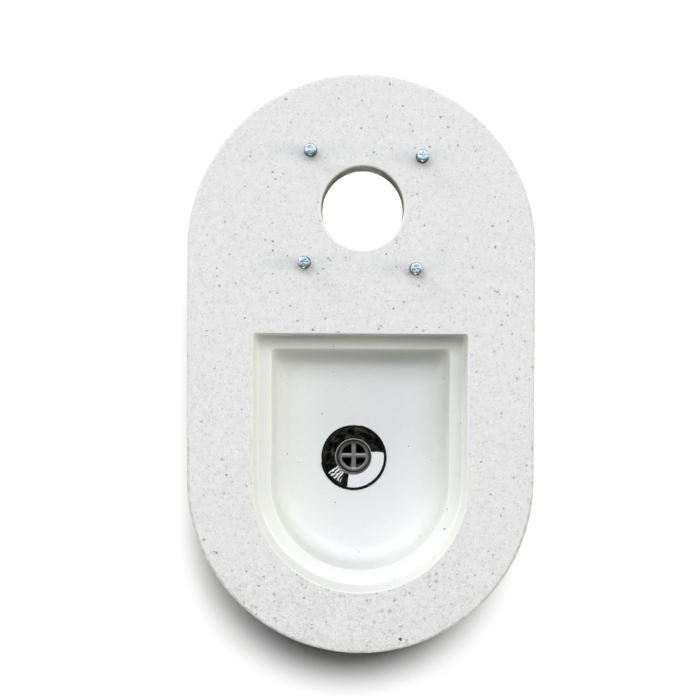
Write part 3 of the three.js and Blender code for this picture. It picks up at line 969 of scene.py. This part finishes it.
def strainer():
    """Cast ring and cross with soft edges, made as one body and smoothed."""
    low_corner, high_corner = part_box("strainer_grid")
    low, high = low_corner.z, high_corner.z
    outer = (high_corner.x - low_corner.x) / 2 - 0.1 * MM
    inner = 11.2 * MM
    profile = ring_profile(inner, outer, low, high, 0.9 * MM, top_steps=4)
    skin = Skin()
    first, last = skin.strip(circles(DRAIN, profile, 96))
    skin.bridge(last, first)
    half_bar = 2.4 * MM
    bar_end = inner + 1.2 * MM
    for turn in (0, math.pi / 2):
        along = Vector((math.cos(turn), math.sin(turn), 0))
        across = Vector((-math.sin(turn), math.cos(turn), 0))
        section = []
        for side, height in arc(0, 0, 1, 0, 345, BAR_POINTS):
            blunt_side = math.copysign(abs(side) ** BAR_BLUNTNESS, side)
            blunt_height = math.copysign(abs(height) ** BAR_BLUNTNESS, height)
            level = (low + high) / 2 + blunt_height * (high - low) * BAR_HEIGHT_SHARE
            section.append((blunt_side * half_bar, level))
        loops = []
        for end in (bar_end, -bar_end):
            points = []
            for side, level in section:
                flat = end * along + across * side
                points.append((DRAIN[0] + flat.x, DRAIN[1] + flat.y, level))
            loops.append(skin.loop(points))
        near, far = loops
        skin.bridge(near, far)
        skin.face(tuple(reversed(near)), 0)
        skin.face(tuple(far), 0)
    piece = skin.build("strainer", [STRAINER_METAL])
    piece.modifiers.clear()
    melt = piece.modifiers.new("one_casting", "REMESH")
    melt.mode = "VOXEL"
    melt.voxel_size = 0.22 * MM
    melt.use_smooth_shade = True
    soften = piece.modifiers.new("soft_edges", "SMOOTH")
    soften.factor = 0.5
    soften.iterations = 6
    return seat(piece, "strainer_grid", "strainer")


# ---------------------------------------------------------------- pedestal sockets


M12_PITCH = 1.75 * MM
M12_DEPTH = 0.9 * MM
SOCKET_BORE = 5.1 * MM
SOCKET_POINTS = 64


def pedestal_socket(side):
    """Blind threaded socket with a wide foot, all but flush with the underside."""
    node = "pedestal_socket_" + side
    place = middle(node)
    high = SOCKET_HIGH.z
    tip = 0.05 * MM
    edge = 0.3 * MM
    mouth = UNDERSIDE + 0.1 * MM
    thread_low, thread_high = UNDERSIDE + 1 * MM, UNDERSIDE + 20 * MM
    drill_point = [(tip, UNDERSIDE + 22 * MM), (SOCKET_BORE, UNDERSIDE + 21 * MM)]
    rows = circles(place, drill_point, SOCKET_POINTS)
    rows += reversed(threaded_rows(
        place, SOCKET_BORE, thread_low, thread_high, M12_PITCH, M12_DEPTH, SOCKET_POINTS,
        outside=False))
    outside = [
        (SOCKET_BORE + M12_DEPTH + 0.4 * MM, mouth),
        (SOCKET_RADIUS - edge, mouth),
        (SOCKET_RADIUS, mouth + edge),
        (SOCKET_RADIUS, high - SOCKET_FOOT_HEIGHT),
        (SOCKET_FOOT_RADIUS, high - SOCKET_FOOT_HEIGHT),
        (SOCKET_FOOT_RADIUS, high),
        (tip, high),
    ]
    rows += circles(place, outside, SOCKET_POINTS)
    skin = Skin()
    first, last = skin.strip(rows)
    skin.cap(first, (), 0, up=False)
    skin.cap(last, (), 0, up=True)
    seat(skin.build("socket_" + side, [SOCKET_STEEL]), node, "head")


# ---------------------------------------------------------------- stage, light and camera

CAMERA_PLACE = (-0.0002, 0.0352, 1.1703)
CAMERA_TURN = (-1.23, 0.51, 0.27)
CAMERA_LENS = 60.97
FLOOR_DROP = 0.5 * MM

# Lamps: turn round Z from +X and lean from the vertical in degrees, brightness. The high ones
# stand over the tap end, the low, side and rear ones lean further over. Of the two grazing
# ones, one lies level in front of the slab and the other shines straight up from below.
HIGH_LAMPS = ((45, 30, 0.30), (90, 30, 0.165), (135, 30, 0.255))
LOW_LAMPS = ((0, 55, 0.165), (180, 55, 0.085))
SIDE_LAMPS = ((0, 76, 0.305), (190, 76, 0.17), (300, 76, 0.05))
REAR_LAMPS = ((135, 76, 0.37), (90, 64, 0.09))
GRAZING_LAMPS = ((262, 90, 0.32), (0, 180, 0.25))
GRAZING_SOFTNESS = 3
LAMP_SOFTNESS = 28
HIGH_COLOUR = (1.0, 1.01, 1.10)
LOW_COLOUR = (1.0, 0.992, 0.79)
FLOOR_LAMPS = ((71, 26, 0.53), (84, 23, 0.55), (102, 27, 0.19), (84, 44, 0.10))
FLOOR_LAMP_SOFTNESS = 14
SHADOW_GLOW = 0.03
GROUND_GLOW = 0.07
GROUND_COLOUR = (1.0, 1.0, 0.85)
WHITE = (1, 1, 1)
TAP_HOLE_LAMP_POWER = 80
TAP_HOLE_LAMP_MARGIN = 1.1

# What the chromed dish mirrors: a white screen that runs from one turn past +-180 degrees to
# the other, with folds of cloth beside it. Turns are round Z from +X in degrees, and heights
# are the upward part of a direction.
SCREEN_START = 74
SCREEN_END = -156
FOLDS_START = 20
FOLDS_END = 55
FOLDS_TOP = 0.91
FOLD_WAVES = 42.0
SCREEN_FOOT = (0.30, 0.34)
SCREEN_TOP = 0.925
SCREEN_TOP_RISE = 0.035


def aim(towards):
    return Vector(towards).to_track_quat("Z", "Y").to_euler()


def stage():
    """A pale sheet that glows faintly, black where the drain's pipe meets it: a disc of painted shade
    under the open drain.
    """
    skin = Skin()
    far = 6.0
    level = TAIL_END - FLOOR_DROP
    corners = ((-far, -far), (far, -far), (far, far), (-far, far))
    skin.face(tuple(skin.loop([(x, y, level) for x, y in corners])), 0)
    paper = Shader("pale_floor")
    inputs = {0: paper.place, 1: (*DRAIN, level)}
    from_drain = paper.node("ShaderNodeVectorMath", inputs, operation="DISTANCE").outputs["Value"]
    # A black disc with no glow under the tail: painted shade for the open drain.
    shade_under_tail = paper.math("LESS_THAN", from_drain, TAIL_RADIUS - 2 * MM)
    sheet = paper.mix(paper.noise(3.0), grey(0.84), grey(0.86))
    paper.colour(paper.mix(shade_under_tail, sheet, grey(0.01)))
    glow = paper.mix(shade_under_tail, grey(1), grey(0))
    paper.tree.links.new(glow, paper.surface.inputs["Emission Color"])
    paper.surface.inputs["Emission Strength"].default_value = SHADOW_GLOW
    paper.roughness(paper.spread(paper.noise(40.0), 0.85, 0.95))
    paper.surface.inputs["Specular IOR Level"].default_value = 0.0
    floor = skin.build("floor", [paper.material])
    floor.visible_diffuse = False
    floor.visible_glossy = False
    floor.visible_shadow = False
    return floor


def soft_lamp(name, turn, lean, brightness, softness, colour, receivers):
    turn, lean = math.radians(turn), math.radians(lean)
    towards = (math.sin(lean) * math.cos(turn), math.sin(lean) * math.sin(turn), math.cos(lean))
    data = bpy.data.lights.new(name, "SUN")
    data.energy = brightness * math.pi
    data.angle = math.radians(softness)
    data.color = colour
    lamp = bpy.data.objects.new(name, data)
    lamp.rotation_euler = aim(towards)
    bpy.context.collection.objects.link(lamp)
    lamp.light_linking.receiver_collection = receivers


def tap_hole_lamp(receivers):
    """A narrow lamp from the camera's place, which whitens the floor behind the tap hole."""
    towards = Vector((*TAP_HOLE, TOP)) - Vector(CAMERA_PLACE)
    data = bpy.data.lights.new("tap_hole_lamp", "SPOT")
    data.spot_size = 2 * TAP_HOLE_LAMP_MARGIN * math.atan(TAP_HOLE_RADIUS / towards.length)
    data.spot_blend = 0.05
    data.shadow_soft_size = 0
    data.energy = TAP_HOLE_LAMP_POWER
    lamp = bpy.data.objects.new("tap_hole_lamp", data)
    lamp.location = CAMERA_PLACE
    lamp.rotation_euler = aim(-towards)
    bpy.context.collection.objects.link(lamp)
    lamp.light_linking.receiver_collection = receivers


def all_but(name, *left_out):
    """A collection that lights everything except these objects."""
    receivers = bpy.data.collections.new(name)
    for piece in left_out:
        receivers.objects.link(piece)
    for entry in receivers.collection_objects:
        entry.light_linking.link_state = "EXCLUDE"
    return receivers


def studio_light(floor, mirror):
    """The floor has its own lamps, and the lamps above miss the mirror-bright dish of the waste."""
    above = all_but("all_but_floor_and_mirror", floor, mirror)
    beside = all_but("all_but_floor", floor)
    floor_only = bpy.data.collections.new("floor_only")
    floor_only.objects.link(floor)
    for lamp in HIGH_LAMPS:
        soft_lamp("high_lamp", *lamp, LAMP_SOFTNESS, HIGH_COLOUR, above)
    for lamp in LOW_LAMPS:
        soft_lamp("low_lamp", *lamp, LAMP_SOFTNESS, LOW_COLOUR, above)
    for lamp in SIDE_LAMPS:
        soft_lamp("side_lamp", *lamp, LAMP_SOFTNESS, LOW_COLOUR, beside)
    for lamp in REAR_LAMPS:
        soft_lamp("rear_lamp", *lamp, LAMP_SOFTNESS, WHITE, above)
    for lamp in GRAZING_LAMPS:
        soft_lamp("grazing_lamp", *lamp, GRAZING_SOFTNESS, WHITE, beside)
    for lamp in FLOOR_LAMPS:
        soft_lamp("floor_lamp", *lamp, FLOOR_LAMP_SOFTNESS, WHITE, floor_only)
    tap_hole_lamp(floor_only)


def surroundings():
    """White to the camera, a faint glow from below, and for reflections a dark room with a white
    screen on one side and folds of cloth beside it."""
    world = bpy.data.worlds.new("studio")
    bpy.context.scene.world = world
    world.use_nodes = True
    sky = Nodes(world.node_tree)
    towards = sky.node("ShaderNodeTexCoord").outputs["Generated"]
    split = sky.node("ShaderNodeSeparateXYZ", {0: towards})
    x, y, z = split.outputs
    glow = sky.math("MULTIPLY", sky.step(z, 0.02, -0.02), GROUND_GLOW)
    fill = sky.node("ShaderNodeBackground", {"Color": (*GROUND_COLOUR, 1), "Strength": glow})

    turn = sky.math("ARCTAN2", y, x)
    waver = sky.noise(3.0, 3.0, 0.5, towards)
    turned = sky.math("ADD", turn, sky.math("MULTIPLY", sky.math("SUBTRACT", waver, 0.5), 0.12))
    left_half = sky.math("GREATER_THAN", turned, math.radians(SCREEN_START))
    behind = sky.math("LESS_THAN", turned, math.radians(SCREEN_END))
    screen = sky.math("MAXIMUM", left_half, behind)
    waves = sky.math("MULTIPLY", turned, FOLD_WAVES)
    waves = sky.math("ADD", waves, sky.math("MULTIPLY", z, 14.0))
    waves = sky.math("ADD", waves, sky.math("MULTIPLY", sky.noise(7.0, 3.0, 0.5, towards), 9.0))
    folds = sky.math("GREATER_THAN", sky.math("SINE", waves), 0.0)
    for limit in (
        sky.math("GREATER_THAN", turned, math.radians(FOLDS_START)),
        sky.math("LESS_THAN", turned, math.radians(FOLDS_END)),
        sky.math("LESS_THAN", z, FOLDS_TOP),
    ):
        folds = sky.math("MULTIPLY", folds, limit)
    screen = sky.math("MAXIMUM", screen, folds)
    screen = sky.math("MULTIPLY", screen, sky.step(z, *SCREEN_FOOT))
    beside = sky.step(sky.math("ABSOLUTE", turned), math.radians(155), math.radians(95))
    upper_edge = sky.math("ADD", SCREEN_TOP, sky.math("MULTIPLY", beside, SCREEN_TOP_RISE))
    screen = sky.math("MULTIPLY", screen, sky.math("LESS_THAN", z, upper_edge))
    blotch = sky.step(sky.noise(5.0, 5.0, 0.65, towards), 0.45, 0.72)
    blotch = sky.math("MULTIPLY", blotch, sky.step(z, 0.30, 0.50))
    cloth = sky.mix(blotch, (0.003, 0.003, 0.003), (0.060, 0.060, 0.050))
    seen = sky.mix(screen, cloth, (0.93, 0.95, 0.97))
    mirrored = sky.node("ShaderNodeBackground", {"Color": seen, "Strength": 1.0})
    white = sky.node("ShaderNodeBackground", {"Color": (1, 1, 1, 1), "Strength": 1.0})

    path = sky.node("ShaderNodeLightPath")
    lit = sky.node("ShaderNodeMixShader",
                   {0: path.outputs["Is Glossy Ray"], 1: fill.outputs[0], 2: mirrored.outputs[0]})
    whole = sky.node("ShaderNodeMixShader",
                     {0: path.outputs["Is Camera Ray"], 1: lit.outputs[0], 2: white.outputs[0]})
    sky.node("ShaderNodeOutputWorld", {0: whole.outputs[0]})


def camera():
    data = bpy.data.cameras.new("camera")
    data.lens = CAMERA_LENS
    made = bpy.data.objects.new("camera", data)
    made.location = CAMERA_PLACE
    made.rotation_euler = [math.radians(angle) for angle in CAMERA_TURN]
    bpy.context.collection.objects.link(made)
    bpy.context.scene.camera = made
    bpy.context.scene.view_settings.view_transform = "Standard"


# ---------------------------------------------------------------- assembly

camera()
floor = stage()
surroundings()

casting()
mirror = waste_body()
strainer()
ring_piece("flange_ring_seal", "flange_seal", RUBBER,
           bore=21.4 * MM, edge=0.3 * MM)
ring_piece("under_basin_seal", "lower_seal", RUBBER,
           bore=21.2 * MM, edge=0.8 * MM)
ring_piece("under_basin_washer", "slip_washer", PLASTIC,
           bore=21.2 * MM, edge=0.3 * MM)
hexagon_nut("backnut", "waste_backnut", BRASS,
            across_flats=52 * MM, bore=21.1 * MM, pitch=G_PITCH, depth=0.3 * MM)
for side, place in zip(SIDES, STUDS):
    tap_stud(side, place)
    ring_piece("washer_" + side, "stud_washer_" + side, ZINC,
               bore=5.3 * MM, edge=0.3 * MM, count=64)
    hexagon_nut("nut_" + side, "stud_nut_" + side, ZINC,
                across_flats=16 * MM, bore=5.05 * MM, pitch=M10_PITCH, depth=0.2 * MM)
    pedestal_socket(side)

studio_light(floor, mirror)
